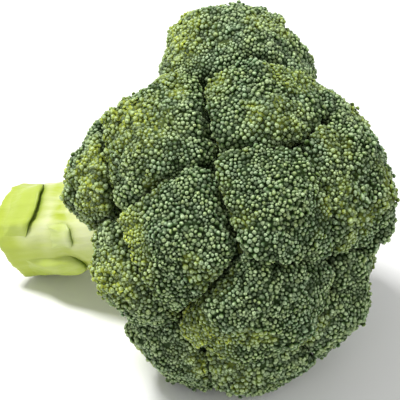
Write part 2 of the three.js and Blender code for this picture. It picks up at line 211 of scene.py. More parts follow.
# ---------------------------------------------------------------- nodes
class Nodes:
    """Adds nodes to a tree and links them up."""

    def __init__(self, tree):
        self.tree = tree

    def add(self, kind, inputs=(), **settings):
        """Adds a node with its inputs linked or set, and gives its outputs."""
        node = self.tree.nodes.new(kind)
        for name, value in settings.items():
            setattr(node, name, value)
        self.fill(node.inputs, inputs)
        return node.outputs

    def fill(self, sockets, values):
        """Links each socket to another one, or sets its value."""
        for name, value in dict(values).items():
            socket = sockets[name]
            if isinstance(value, bpy.types.NodeSocket):
                self.tree.links.new(value, socket)
            elif socket.type == "RGBA":
                socket.default_value = (*value[:3], 1)
            else:
                socket.default_value = value

    def inputs(self, **kinds):
        for name, kind in kinds.items():
            self.tree.interface.new_socket(name.replace("_", " "), in_out="INPUT", socket_type=kind)
        return self.add("NodeGroupInput")

    def output(self, name, kind, value):
        self.tree.interface.new_socket(name, in_out="OUTPUT", socket_type=kind)
        self.add("NodeGroupOutput", {name: value})

    def math(self, operation, first, second):
        return self.add("ShaderNodeMath", {0: first, 1: second}, operation=operation)[0]

    def xyz(self, *values):
        return self.add("ShaderNodeCombineXYZ", enumerate(values))[0]

    def named(self, name, kind):
        """An attribute in geometry nodes."""
        return self.add("GeometryNodeInputNamedAttribute", {"Name": name}, data_type=kind)["Attribute"]

    def finish(self, geometry, material):
        """Paints the geometry and gives it out."""
        painted = self.add("GeometryNodeSetMaterial", {"Geometry": geometry, "Material": material})
        self.output("Geometry", "NodeSocketGeometry", painted["Geometry"])

    def attribute(self, name):
        """An attribute in a material."""
        return self.add("ShaderNodeAttribute", attribute_name=name)["Fac"]

    def ramp(self, value, low, high, bottom=0.0, top=1.0):
        inputs = {"Value": value, "From Min": low, "From Max": high, "To Min": bottom, "To Max": top}
        return self.add("ShaderNodeMapRange", inputs, interpolation_type="SMOOTHSTEP")["Result"]

    def mix(self, factor, first, second, blend="MIX"):
        inputs = {0: factor, 6: first, 7: second}
        return self.add("ShaderNodeMix", inputs, data_type="RGBA", blend_type=blend)[2]

    def place(self, turn=(0, 0, 0), stretch=(1, 1, 1)):
        """Object coordinates, turned and then stretched."""
        inputs = {"Vector": self.add("ShaderNodeTexCoord")["Object"], "Rotation": turn, "Scale": stretch}
        return self.add("ShaderNodeMapping", inputs, vector_type="TEXTURE")["Vector"]

    def noise(self, vector, scale, detail=2.0, roughness=0.5):
        inputs = {"Vector": vector, "Scale": scale, "Detail": detail, "Roughness": roughness}
        return self.add("ShaderNodeTexNoise", inputs)["Fac"]

    def bump(self, height, strength, distance):
        inputs = {"Height": height, "Strength": strength, "Distance": distance}
        return self.add("ShaderNodeBump", inputs)["Normal"]

    def mottled(self, group, place, colours, patch, fleck, share):
        """The first colour with patches and flecks of the second, of these sizes."""
        inputs = {"Vector": place, "First": colours[0], "Second": colours[1], "Patch Scale": 1 / patch,
                  "Fleck Scale": 1 / fleck, "Fleck Share": share}
        return self.add("ShaderNodeGroup", inputs, node_tree=group)["Color"]

    def skinned(self, group, place, cell, dimple, depth):
        """A normal with cells and dimples of these sizes."""
        inputs = {"Vector": place, "Cell Scale": 1 / cell, "Dimple Scale": 1 / dimple, "Depth": depth}
        return self.add("ShaderNodeGroup", inputs, node_tree=group)["Normal"]


# ---------------------------------------------------------------- florets
FINE_NET = 6
CORE_NET = 4
BUD_STAND = 0.35 * MM        # how far a bud's tip stands out of the core
FLOOR_ROOM = 1.4 * MM        # the middle of the lowest bud above the surface that the head lies on
SOFTENING_ROUNDS = 6
FULL_SIZE = 96               # percent of a floret's skin that its size takes in
FORK_DISTANCE = 26 * MM      # along the axis, from a floret back to where its branch starts
CLUSTER_SCATTER = 0.36
CLUMP_SCATTER = 0.30
CLUSTER_FURROW = 0.36        # half a furrow's width, as a share of the spacing
CLUMP_FURROW = 0.26
EVEN_LEVEL = 0.8             # how far up its relief a floret's even surface is
SHOULDER_WIDTH = 6 * MM      # a floret's skin falls away this near to the next floret
SHOULDER_DEPTH = 2.8 * MM
STEEPEST_FALL = 0.25         # the most that it falls, as a share of its distance from the middle
TOP_LEAN = 0.8               # a floret's top, which its shoulders don't lower
DRAWN_SPACING = 0.62         # buds are drawn this close, as a share of their spacing, and then thinned out
SETTLING_ROUNDS = 24
PUSH_SHARE = 0.42            # how much of an overlap each round takes away
PUSH_REACH = 1.5             # how near buds push each other, as a multiple of the largest
STEEPEST_SLANT = 0.35        # cosine past which skin that slants more gets no more buds
SWELLING = (0.8, 1.25)       # the least and the most that a bud shrinks or swells once settled
OPEN_ROOM = 0.9 * MM         # a bud needs this much room to the next floret
UNDERSIDE_LEAN = -0.62       # no buds where a floret's surface leans back past this
SEAT_DEPTH = 1.1 * MM        # how far a core reaches down onto its branch
STEMS_UNDER_FLORET = 11
STEM_LEANS = (math.radians(16), math.radians(56))    # from the branch's line, at both ends of a small stem
STEM_RADII = (1.5 * MM, 0.75 * MM)
STEM_SIDES = 6
STEM_FORKS = (0.25, 0.5)     # how far along a small stem forks
STEM_SPREADS = (0.5, 0.8)    # how wide a fork opens, as a share of the room between stems
BUD_SIDES = 6
BUD_RINGS = ((0.95, -0.30), (0.86, 0.50))            # radius and height, for a bud of unit radius
BUD_LOBES = (0.92, 1.08)     # every other corner stands out
BUD_FOOT = 0.45              # how far below its middle a bud's colours start
BUD_DISC = 0.46              # radius of a bud's picture in its cell of the map
BUD_WIDTHS = (0.86, 1.14)    # narrowest and widest, as shares of the usual width
BUD_HEIGHTS = (0.85, 1.2)
HONEYCOMB = math.sqrt(3) / 2
SMALLEST_BUD = 0.66          # as shares of the spacing
LARGEST_BUD = 1.5
BUD_SCATTER = 0.5
LEAST_ROOM = 0.84            # a bud's room in the tightest stretches, and how much more it has in the widest
ROOM_DRIFT = 0.30
ROOM_PATCH = 20 * MM
FURROW_ROOM = 1.10           # room down in a furrow, and how much less there is on top of a cluster
TOP_ROOM_LOSS = 0.16
FAR_NEIGHBOUR = 1.3          # distance that stands for a neighbour too far off to count
HEIGHT_SHARES = (0.6, 0.4)   # of clusters and of clumps
LEAST_DEEP = 0.03            # how deep furrows between florets are anywhere, by chance, and at the spots
DEEP_DRIFT = 0.27
DEEP_PATCH = 26 * MM
DEEP_SPOT = 0.85
LOOSE_RIM = (0.45, 0.5)      # cosine from which buds that face the stalk loosen, and over how much more
LOOSE_RIM_SHARE = 0.8
LOOSE_PATCH = 24 * MM
LOOSE_PATCH_FROM = 0.70
LOOSE_PATCH_RISE = 4
LOOSEST_PATCH = 0.35
BREAK_UP = (0.35, 0.65)      # share of looseness that is even, and that comes in small patches
BREAK_UP_SIZE = 6 * MM
LOOSE_GAIN = 1.2
FACING_SHARES = (0.6, 0.4)   # of the skin's own facing, and of the direction from the floret's middle
CLUSTER_LEAN = 0.13          # for each mm from the middle of the cluster
LEAN_SCATTER = 0.13
SEAT_MARGIN = 0.04           # past the last buds, where the core starts down to its branch
SEAT_FADE = 0.12
STEM_SCATTER = 0.25
MAIN_STEM = (8, -0.4, 1)     # points along a stem, its bend at the fork, its share of the radius
SIDE_STEM = (6, 0.6, 0.75)
STEM_STAND = 0.3             # how far a small stem's middle stands out of the core, as a share of its radius
# Each spot has its rise along the axis and spread from it in mm, turn, size in mm, and strength.
DEEP_SPOTS = [
    (21, 49, 24, 9, 0.6), (29, 46, 42, 9, 0.8), (34, 47, 62, 9, 1.0), (31, 50, 78, 9, 0.8),
    (21, 55, 89, 9, 0.7), (6, 54, 103, 10, 0.5), (19, 57, -4, 12, 0.4),
]
LOOSE_SPOTS = [
    (-9, 64, 23, 8, 1.0), (0, 62, 31, 10, 0.7), (-21, 59, 41, 8, 1.0), (-8, 68, -9, 10, 0.7),
    (-3, 74, -13, 8, 0.6), (43, 41, 10, 8, 0.5), (-15, 59, 80, 9, 0.9), (-10, 60, 88, 7, 0.5),
    (60, 16, 42, 9, 0.35), (2, 60, 128, 9, 0.5), (11, 64, 138, 7, 0.35), (-24, 52, 52, 9, 0.8),
]


class Floret:
    """A floret's domed surface with its furrows, as distances from its middle."""

    def __init__(self, name, solids, seed, settings):
        self.name = name
        self.seed = seed
        self.middle = solids[name][0].mean(axis=0)
        self.solid = joined_tree([solids[name]])
        self.beside = joined_tree([shape for other, shape in solids.items() if other != name])
        net, net_faces, edges = sphere_net(FINE_NET)
        reach = self.cast(self.solid, net)[0]
        reach = softened(reach, edges, SOFTENING_ROUNDS) - BUD_STAND
        self.size = float(np.percentile(reach, FULL_SIZE))
        self.clusters = self.seeds(settings.cluster_spacing, 1, CLUSTER_SCATTER)
        self.clumps = self.seeds(settings.clump_spacing, 2, CLUMP_SCATTER)
        self.outward = Vector(self.middle) - (CROWN_MIDDLE + AXIS * self.fork_rise())
        self.outward.normalize()
        fall = softened(self.shoulder(self.middle + net * reach[:, None]), edges, 2)
        fall = np.maximum(fall - fall[net @ np.array(self.outward) > TOP_LEAN].min(), 0)
        fall = np.minimum(fall * SHOULDER_DEPTH, reach * STEEPEST_FALL)
        reach = reach + self.relief(net, settings)[0] - fall
        points = self.middle + net * reach[:, None]
        points[:, 2] = np.maximum(points[:, 2], FLOOR_ROOM)
        self.reach = float(reach.max())
        self.surface = BVHTree.FromPolygons([Vector(point) for point in points], net_faces.tolist())

    def seeds(self, spacing, step, scatter):
        count = int(4 * np.pi * self.size**2 / (HONEYCOMB * spacing**2))
        return even_directions(count, self.seed + step, scatter)

    def fork_rise(self):
        """Where on the axis the floret's branch starts."""
        return (Vector(self.middle) - CROWN_MIDDLE).dot(AXIS) - FORK_DISTANCE

    def cast(self, tree, directions):
        """How far the skin is from the middle, and which way it faces there."""
        middle = Vector(self.middle)
        hits = [tree.ray_cast(middle, Vector(direction)) for direction in directions]
        reach = np.array([hit[3] or 0.0 for hit in hits])
        facing = np.array([hit[1][:] if hit[1] else (0, 0, 1) for hit in hits])
        return reach, facing

    def furrows(self, directions, middles, width):
        """From 0 in the furrows between the middles to 1 a width away from them."""
        near = directions @ middles.T
        first = np.argmax(near, axis=1)
        closest = near[np.arange(len(near)), first]
        near[np.arange(len(near)), first] = -1
        second = near.max(axis=1)
        clear = (np.arccos(np.clip(second, -1, 1)) - np.arccos(np.clip(closest, -1, 1))) / 2 * self.size
        return 1 - (1 - np.clip(clear / width, 0, 1)) ** 2

    def relief(self, directions, settings):
        """Height of clusters and clumps over the floret's even surface, and how far up a cluster it is."""
        cluster = self.furrows(directions, self.clusters, CLUSTER_FURROW * settings.cluster_spacing)
        clump = self.furrows(directions, self.clumps, CLUMP_FURROW * settings.clump_spacing)
        height = settings.cluster_relief * (cluster - EVEN_LEVEL)
        height += settings.clump_relief * (clump - EVEN_LEVEL)
        return height, HEIGHT_SHARES[0] * cluster + HEIGHT_SHARES[1] * clump

    def shoulder(self, points):
        """How far the skin falls away towards the next florets, from 0 to 1. Some furrows are deeper."""
        nearest = [self.beside.find_nearest(Vector(point), SHOULDER_WIDTH)[3] for point in points]
        away = np.array([SHOULDER_WIDTH if distance is None else distance for distance in nearest])
        deep = LEAST_DEEP + DEEP_DRIFT * smooth_noise(points, DEEP_PATCH, 5)
        deep += DEEP_SPOT * spotted(points, DEEP_SPOTS)
        return (1 - away / SHOULDER_WIDTH) ** 2 * np.clip(deep, 0, 1)

    def points(self, directions):
        """Points of the skin, and which way it faces there."""
        reach, facing = self.cast(self.surface, directions)
        return self.middle + directions * reach[:, None], facing


def joined_tree(shapes):
    """One tree to search, from the corners and faces of several shapes."""
    corners, faces = [], []
    for points, sides in shapes:
        faces += [[len(corners) + index for index in side] for side in sides]
        corners += [Vector(point) for point in points]
    return BVHTree.FromPolygons(corners, faces)


def even_directions(count, seed, scatter):
    """Directions spread over the unit sphere on a spiral, each moved a little."""
    random = np.random.default_rng(seed)
    place = np.arange(count)
    height = 1 - (2 * place + 1) / count
    turn = place * np.pi * (3 - math.sqrt(5)) + random.uniform(0, 2 * np.pi)
    around = np.sqrt(1 - height**2)
    directions = np.stack([around * np.cos(turn), around * np.sin(turn), height], axis=1)
    directions += random.uniform(-1, 1, directions.shape) * scatter * math.sqrt(4 * np.pi / count)
    return unit(directions)


def is_open(floret, florets, directions, points):
    """Where a floret has room for buds: not against the next floret and not under itself."""
    keep = directions @ np.array(floret.outward) > UNDERSIDE_LEAN
    near = [other for other in florets if other is not floret
            and np.linalg.norm(other.middle - floret.middle) < floret.reach + other.reach]
    for index in np.nonzero(keep)[0]:
        point = Vector(points[index])
        for other in near:
            toward = point - Vector(other.middle)
            if toward.length > other.reach + OPEN_ROOM:
                continue
            hit = other.surface.ray_cast(Vector(other.middle), toward)[3]
            inside = hit is not None and hit > toward.length
            if inside or other.surface.find_nearest(point, OPEN_ROOM)[0] is not None:
                keep[index] = False
                break
    return keep


def close_pairs(directions, angle):
    return np.nonzero(np.triu(directions @ directions.T > math.cos(angle), 1))


def settled_buds(floret, florets, settings):
    """Directions of buds, pushed apart until they lie evenly, with the room that each one has."""
    random = np.random.default_rng(floret.seed + 500)
    spacing = settings.bud_spacing
    tight = DRAWN_SPACING * spacing
    directions = even_directions(
        int(4 * np.pi * floret.size**2 / (HONEYCOMB * tight**2)), floret.seed, BUD_SCATTER)
    points, facing = floret.points(directions)
    variety = np.exp(random.normal(size=len(points)) * settings.bud_variety)
    room = variety * (LEAST_ROOM + ROOM_DRIFT * smooth_noise(points, ROOM_PATCH, floret.seed))
    room *= FURROW_ROOM - TOP_ROOM_LOSS * floret.relief(directions, settings)[1]
    room = spacing * np.clip(room, SMALLEST_BUD, LARGEST_BUD)
    # Each draw stands for a patch of skin, which is larger where the skin is far out or slants.
    reach = np.linalg.norm(points - floret.middle, axis=1)
    slant = np.clip(np.abs(np.sum(facing * directions, axis=1)), STEEPEST_SLANT, 1)
    patch = (reach / floret.size) ** 2 / slant * HONEYCOMB * tight**2
    keep = random.uniform(size=len(patch)) < patch / (HONEYCOMB * room**2)
    directions, points, room = directions[keep], points[keep], room[keep]
    keep = is_open(floret, florets, directions, points)
    directions, points, room = directions[keep], points[keep], room[keep]
    angle = PUSH_REACH * LARGEST_BUD * spacing / floret.size
    rounds = SETTLING_ROUNDS
    for step in range(rounds):
        if step % 4 == 0:
            first, second = close_pairs(directions, angle)
        apart = points[first] - points[second]
        distance = np.linalg.norm(apart, axis=1) + 1e-9
        push = np.clip(0.5 * (room[first] + room[second]) - distance, 0, None) * PUSH_SHARE
        move = apart / distance[:, None] * push[:, None]
        total = np.zeros_like(points)
        for axis in range(3):
            total[:, axis] += np.bincount(first, move[:, axis], len(points))
            total[:, axis] -= np.bincount(second, move[:, axis], len(points))
        directions = unit(points + total - floret.middle)
        points, facing = floret.points(directions)
    # A bud swells or shrinks a little until it meets the nearest ones.
    first, second = close_pairs(directions, angle)
    distance = np.linalg.norm(points[first] - points[second], axis=1)
    spare = distance / (0.5 * (room[first] + room[second]))
    nearest = np.full((3, len(points)), FAR_NEIGHBOUR)
    for index in np.argsort(-spare):
        for bud in (first[index], second[index]):
            nearest[:, bud] = (spare[index], nearest[0, bud], nearest[1, bud])
    room = room * np.clip(nearest.mean(axis=0), *SWELLING)
    keep = is_open(floret, florets, directions, points)
    return directions[keep], points[keep], facing[keep], room[keep]


def bud_shape():
    """One bud, a low round dome of unit radius, open underneath."""
    corners = []
    for ring, (radius, height) in enumerate(BUD_RINGS):
        for side in range(BUD_SIDES):
            turn = 2 * math.pi * (side + 0.5 * ring) / BUD_SIDES
            lobed = radius * BUD_LOBES[side % 2]
            corners.append((lobed * math.cos(turn), lobed * math.sin(turn), height))
    corners.append((0, 0, 1))
    rises = [(height + BUD_FOOT) / (1 + BUD_FOOT) for _, _, height in corners]
    top = len(corners) - 1
    afters = [(side + 1) % BUD_SIDES for side in range(BUD_SIDES)]
    faces = []
    for side, after in enumerate(afters):
        above, above_after = side + BUD_SIDES, after + BUD_SIDES
        faces += [(side, after, above), (after, above_after, above)]
    faces += [(side + BUD_SIDES, after + BUD_SIDES, top) for side, after in enumerate(afters)]
    bud = make_object("bud_shape", corners, faces)
    smooth_shaded(bud.data)
    set_attributes(bud.data, bud_rise=rises)
    # Each bud's picture is a disc in its own cell of the map, with the tip in the middle.
    disc = []
    for loop in bud.data.loops:
        flat = Vector(corners[loop.vertex_index][:2])
        if flat.length > 0:
            flat = flat.normalized() * (1 - rises[loop.vertex_index]) * BUD_DISC
        disc.append((0.5 + flat.x, 0.5 + flat.y, 0))
    set_attributes(bud.data, "CORNER", bud_disc=disc)
    return bud


def bud_tree():
    """Geometry nodes that stand a bud on every point."""
    nodes = Nodes(bpy.data.node_groups.new("Buds on Points", "GeometryNodeTree"))
    given = nodes.inputs(
        Geometry="NodeSocketGeometry", Bud="NodeSocketObject", Material="NodeSocketMaterial",
        Fullness="NodeSocketFloat", Flattest="NodeSocketFloat", Tallest="NodeSocketFloat",
        Map_Cells="NodeSocketInt", Seed="NodeSocketInt")

    def draw(low, high, step):
        inputs = {2: low, 3: high, "Seed": nodes.math("ADD", given["Seed"], step)}
        return nodes.add("FunctionNodeRandomValue", inputs, data_type="FLOAT")[1]

    def stored(geometry, name, kind, domain, value):
        inputs = {"Geometry": geometry, "Name": name, "Value": value}
        return nodes.add(
            "GeometryNodeStoreNamedAttribute", inputs, data_type=kind, domain=domain)["Geometry"]

    points = nodes.add("GeometryNodeMeshToPoints", {"Mesh": given["Geometry"]})["Points"]
    count = nodes.add("GeometryNodeInputIndex")[0]
    column = nodes.math("MODULO", count, given["Map Cells"])
    row = nodes.math("FLOOR", nodes.math("DIVIDE", count, given["Map Cells"]), 0.0)
    celled = stored(points, "cell", "FLOAT_VECTOR", "POINT", nodes.xyz(column, row, 0.0))

    source = nodes.add("GeometryNodeObjectInfo", {"Object": given["Bud"]})["Geometry"]
    align = nodes.add("FunctionNodeAlignRotationToVector",
                      {"Vector": nodes.named("facing", "FLOAT_VECTOR")}, axis="Z")["Rotation"]
    spin = nodes.add("FunctionNodeAxisAngleToRotation",
                     {"Axis": (0, 0, 1), "Angle": draw(0.0, 2 * math.pi, 1)})["Rotation"]
    twist = nodes.add("FunctionNodeRotateRotation",
                      {"Rotation": align, "Rotate By": spin}, rotation_space="LOCAL")["Rotation"]
    radius = nodes.math("MULTIPLY", nodes.named("room", "FLOAT"), 0.5)
    radius = nodes.math("MULTIPLY", radius, given["Fullness"])
    height = nodes.math("MULTIPLY", radius, draw(given["Flattest"], given["Tallest"], 2))
    wide, deep = (nodes.math("MULTIPLY", radius, draw(*BUD_WIDTHS, step)) for step in (3, 4))

    instances = nodes.add("GeometryNodeInstanceOnPoints", {
        "Points": celled, "Instance": source, "Rotation": twist,
        "Scale": nodes.xyz(wide, deep, height)})["Instances"]
    buds = nodes.add("GeometryNodeRealizeInstances", {"Geometry": instances})["Geometry"]

    # Each bud gets its own cell of the map.
    disc, cell = (nodes.named(name, "FLOAT_VECTOR") for name in ("bud_disc", "cell"))
    spot = nodes.add("ShaderNodeVectorMath", {0: disc, 1: cell}, operation="ADD")[0]
    size = nodes.math("DIVIDE", 1.0, given["Map Cells"])
    spot = nodes.add("ShaderNodeVectorMath", {0: spot, "Scale": size}, operation="SCALE")[0]
    nodes.finish(stored(buds, "OFBake", "FLOAT2", "CORNER", spot), given["Material"])
    return nodes.tree


def set_inputs(modifier, values):
    for item in modifier.node_group.interface.items_tree:
        if item.item_type == "SOCKET" and item.in_out == "INPUT" and item.name in values:
            modifier[item.identifier] = values[item.name]


def spotted(points, spots):
    """The sum of soft round spots at each point."""
    share = np.zeros(len(points))
    for rise, spread, turn, size, strength in spots:
        angle = math.radians(turn)
        outward = FLANK * math.cos(angle) + FRONT * math.sin(angle)
        spot = CROWN_MIDDLE + (AXIS * rise + outward * spread) * MM
        away = np.linalg.norm(points - np.array(spot), axis=1) / (size * MM)
        share += strength * np.exp(-away**2)
    return share


def loose_share(points, directions, seed):
    """How loose and yellow-green the buds are: on rims that face the stalk and in a few patches."""
    backward = -(directions @ np.array(AXIS))
    rim = np.clip((backward - LOOSE_RIM[0]) / LOOSE_RIM[1], 0, 1)
    patches = smooth_noise(points, LOOSE_PATCH, seed) - LOOSE_PATCH_FROM
    patches = np.clip(patches * LOOSE_PATCH_RISE, 0, LOOSEST_PATCH)
    share = rim * LOOSE_RIM_SHARE + patches + spotted(points, LOOSE_SPOTS)
    broken = BREAK_UP[0] + BREAK_UP[1] * smooth_noise(points, BREAK_UP_SIZE, seed + 1)
    return np.clip(share * broken * LOOSE_GAIN, 0, 1)


def bud_facing(floret, directions, facing):
    """Buds lean away from the middle of their cluster."""
    nearest = floret.clusters[np.argmax(directions @ floret.clusters.T, axis=1)]
    lean = (directions - nearest) * floret.size / MM * CLUSTER_LEAN
    random = np.random.default_rng(floret.seed + 700)
    toward = facing * FACING_SHARES[0] + directions * FACING_SHARES[1] + lean
    return unit(toward + random.normal(size=facing.shape) * LEAN_SCATTER)


def core_object(floret, settings):
    """The floret's inside, seen only between its buds."""
    net, faces, _ = sphere_net(CORE_NET)
    points = floret.points(net)[0] - net * 0.35 * MM
    # Underneath, the core comes down to the end of its branch.
    under = np.clip((UNDERSIDE_LEAN - SEAT_MARGIN - net @ np.array(floret.outward)) / SEAT_FADE, 0, 1)
    seat = floret.middle + net * (floret.cast(floret.solid, net)[0] + SEAT_DEPTH)[:, None]
    points += (seat - points) * under[:, None]
    points[:, 2] = np.maximum(points[:, 2], FLOOR_ROOM)
    core = make_object(floret.name.replace("floret", "core"), points, faces)
    smooth_shaded(core.data)
    set_attributes(core.data, loose=np.maximum(loose_share(points, net, settings.seed), under))
    return core, joined_tree([(points, faces)])


def small_stems(floret, core):
    """Stems that spread under a floret from its branch and fork, each as points and radii."""
    random = np.random.default_rng(floret.seed + 300)
    side = floret.outward.orthogonal().normalized()
    across = floret.outward.cross(side)
    stems = []
    for index in range(STEMS_UNDER_FLORET):
        turn = (index + random.uniform(-STEM_SCATTER, STEM_SCATTER)) * 2 * math.pi / STEMS_UNDER_FLORET
        fork = random.uniform(*STEM_FORKS)
        spread = random.uniform(*STEM_SPREADS) * 2 * math.pi / STEMS_UNDER_FLORET
        for start, count, bend, stout in ((0, *MAIN_STEM), (fork, *SIDE_STEM)):
            share = np.linspace(start, 1, count)
            turns = turn + spread * bend * np.clip((share - fork) / (1 - fork), 0, 1)
            lean = STEM_LEANS[0] + (STEM_LEANS[1] - STEM_LEANS[0]) * share
            outward = np.outer(np.cos(turns), side) + np.outer(np.sin(turns), across)
            directions = outward * np.sin(lean)[:, None] - np.outer(np.cos(lean), floret.outward)
            radius = stout * (STEM_RADII[0] + (STEM_RADII[1] - STEM_RADII[0]) * share)
            reach = floret.cast(core, directions)[0] + STEM_STAND * radius
            points = floret.middle + directions * reach[:, None]
            points[:, 2] = np.maximum(points[:, 2], FLOOR_ROOM)
            stems.append((points, radius))
    return stems


def stem_tree():
    """Geometry nodes that turn lines into round stems."""
    nodes = Nodes(bpy.data.node_groups.new("Stems on Lines", "GeometryNodeTree"))
    given = nodes.inputs(Geometry="NodeSocketGeometry", Sides="NodeSocketInt", Material="NodeSocketMaterial")
    line = nodes.add("GeometryNodeMeshToCurve", {"Mesh": given["Geometry"]})["Curve"]
    ring = nodes.add("GeometryNodeCurvePrimitiveCircle", {"Resolution": given["Sides"], "Radius": 1})["Curve"]
    stems = nodes.add("GeometryNodeCurveToMesh", {
        "Curve": line, "Profile Curve": ring, "Scale": nodes.named("stem_radius", "FLOAT"),
        "Fill Caps": True})["Mesh"]
    nodes.finish(stems, given["Material"])
    return nodes.tree


def stems_object(stems, paint):
    """All the small stems under the florets, in one piece."""
    corners = np.concatenate([points for points, _ in stems])
    edges = []
    for points, _ in stems:
        start = edges[-1][1] + 1 if edges else 0
        edges += [(start + step, start + step + 1) for step in range(len(points) - 1)]
    piece = make_object("small_stems", corners, edges=edges)
    set_attributes(piece.data, stem_radius=np.concatenate([radius for _, radius in stems]))
    modifier = piece.modifiers.new("Stems", "NODES")
    modifier.node_group = stem_tree()
    set_inputs(modifier, {"Sides": STEM_SIDES, "Material": paint})
    applied(piece)
    smooth_shaded(piece.data)
    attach(piece, "root")


class BROCCOLI_OT_grow_florets(bpy.types.Operator):
    """Covers every floret with buds on a soft domed core"""

    bl_idname = "broccoli.grow_florets"
    bl_label = "Grow Florets"

    def execute(self, context):
        settings = context.scene.broccoli_florets
        solids = {name: merged_copy(name) for name in FLORETS}
        florets = [Floret(name, solids, settings.seed + 37 * index, settings)
                   for index, name in enumerate(FLORETS)]
        bud = bud_shape()
        tree = bud_tree()
        mottle = mottle_group()
        bud_paint = bud_material(settings, mottle, plant_skin_group())
        core_paint = core_material(settings, mottle)
        stems = []
        for floret in florets:
            core, core_tree = core_object(floret, settings)
            stems += small_stems(floret, core_tree)
            core.data.materials.append(core_paint)
            directions, points, facing, room = settled_buds(floret, florets, settings)
            random = np.random.default_rng(floret.seed + 900)
            toward = bud_facing(floret, directions, facing)
            points = points + toward * random.normal(size=(len(points), 1)) * 0.16 * MM
            points[:, 2] = np.maximum(points[:, 2], FLOOR_ROOM)
            buds = make_object(floret.name.replace("floret", "buds"), points)
            # crest: how far up its cluster a bud stands, lowered on the shoulders towards the next floret;
            # low crests get painted furrow shade.
            set_attributes(
                buds.data, facing=toward, room=room, tint=random.uniform(size=len(points)),
                crest=floret.relief(directions, settings)[1] * (1 - 0.8 * floret.shoulder(points)),
                loose=loose_share(points, directions, settings.seed))
            modifier = buds.modifiers.new("Buds", "NODES")
            modifier.node_group = tree
            set_inputs(modifier, {
                "Bud": bud, "Material": bud_paint, "Fullness": settings.bud_fullness,
                "Flattest": BUD_HEIGHTS[0], "Tallest": BUD_HEIGHTS[1],
                "Map Cells": math.ceil(math.sqrt(len(points))), "Seed": floret.seed})
            applied(buds)
            for piece in (core, buds):
                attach(piece, "root")
            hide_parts(floret.name)
        bpy.data.objects.remove(bud)
        stems_object(stems, stem_material(settings, mottle))
        return {"FINISHED"}


# ---------------------------------------------------------------- materials
def mottle_group():
    """Two colours in soft patches, with finer flecks of the second."""
    nodes = Nodes(bpy.data.node_groups.new("Mottle", "ShaderNodeTree"))
    given = nodes.inputs(Vector="NodeSocketVector", First="NodeSocketColor", Second="NodeSocketColor",
                         Patch_Scale="NodeSocketFloat", Fleck_Scale="NodeSocketFloat",
                         Fleck_Share="NodeSocketFloat")
    patches = nodes.ramp(nodes.noise(given["Vector"], given["Patch Scale"]), 0.38, 0.64)
    flecks = nodes.ramp(nodes.noise(given["Vector"], given["Fleck Scale"]), 0.45, 0.72)
    share = nodes.math("MAXIMUM", patches, nodes.math("MULTIPLY", flecks, given["Fleck Share"]))
    nodes.output("Color", "NodeSocketColor", nodes.mix(share, given["First"], given["Second"]))
    return nodes.tree


def plant_skin_group():
    """Fine cells and shallow dimples of plant skin, as a normal."""
    nodes = Nodes(bpy.data.node_groups.new("Plant Skin", "ShaderNodeTree"))
    given = nodes.inputs(Vector="NodeSocketVector", Cell_Scale="NodeSocketFloat",
                         Dimple_Scale="NodeSocketFloat", Depth="NodeSocketFloat")
    cells, dimples = (nodes.noise(given["Vector"], given[name]) for name in ("Cell Scale", "Dimple Scale"))
    height = nodes.math("ADD", nodes.math("MULTIPLY", cells, 0.3), dimples)
    nodes.output("Normal", "NodeSocketVector", nodes.bump(height, 0.6, given["Depth"]))
    return nodes.tree


def new_material(name):
    material = bpy.data.materials.new(name)
    material.use_nodes = True
    return material, Nodes(material.node_tree), material.node_tree.nodes["Principled BSDF"].inputs


def bud_material(settings, mottle, skin):
    material, nodes, shader = new_material("waxy_buds")
    rise, tint, crest = (nodes.attribute(name) for name in ("bud_rise", "tint", "crest"))
    place = nodes.place()
    patches = nodes.mottled(mottle, place, (settings.bud_grey, settings.bud_blue), 11 * MM, 3 * MM, 0.6)
    cool = nodes.mix(nodes.ramp(crest, 0.25, 0.85, 0.75, 0.0), patches, settings.bud_blue)
    olive = nodes.mix(nodes.ramp(tint, 0.62, 1.0, 0.0, 0.5), cool, settings.bud_olive)
    # Painted shade: each bud is dark low down and lighter towards its top.
    body = nodes.mix(nodes.ramp(rise, 0.16, 0.72), settings.bud_shade, olive)
    # The pale waxy bloom, partly a painted highlight, lies round the tip, and the tip itself is darker where
    # the bud is closed.
    ring = nodes.math("SUBTRACT", nodes.ramp(rise, 0.50, 0.82), nodes.ramp(rise, 0.86, 1.0, 0.0, 0.75))
    waxy_highlight = nodes.math("MULTIPLY", ring, nodes.ramp(tint, 0.0, 0.7, 0.44, 0.24))
    bloomed = nodes.mix(waxy_highlight, body, settings.bud_bloom_highlight)
    young = nodes.math("MULTIPLY", nodes.attribute("loose"), nodes.ramp(rise, 0.25, 0.85, 1.0, 0.20))
    fresh = nodes.mix(young, bloomed, settings.bud_loose)
    # Painted shade: buds low on their clusters and in the furrows between florets turn towards the furrow
    # shade.
    shaded = nodes.mix(nodes.ramp(crest, 0.20, 0.90, 0.85, 0.0), fresh, settings.furrow_shade)
    grain = nodes.ramp(nodes.noise(place, 1 / (0.5 * MM), 2.0, 0.6), 0.36, 0.64, 0.66, 1.42)
    nodes.fill(shader, {
        "Base Color": nodes.mix(1.0, shaded, nodes.xyz(grain, grain, grain), "MULTIPLY"),
        "Normal": nodes.skinned(skin, place, 0.18 * MM, 0.55 * MM, 0.28 * MM),
        "Roughness": nodes.ramp(rise, 0.3, 0.9, 0.85, 0.48), "Specular IOR Level": 0.26})
    return material


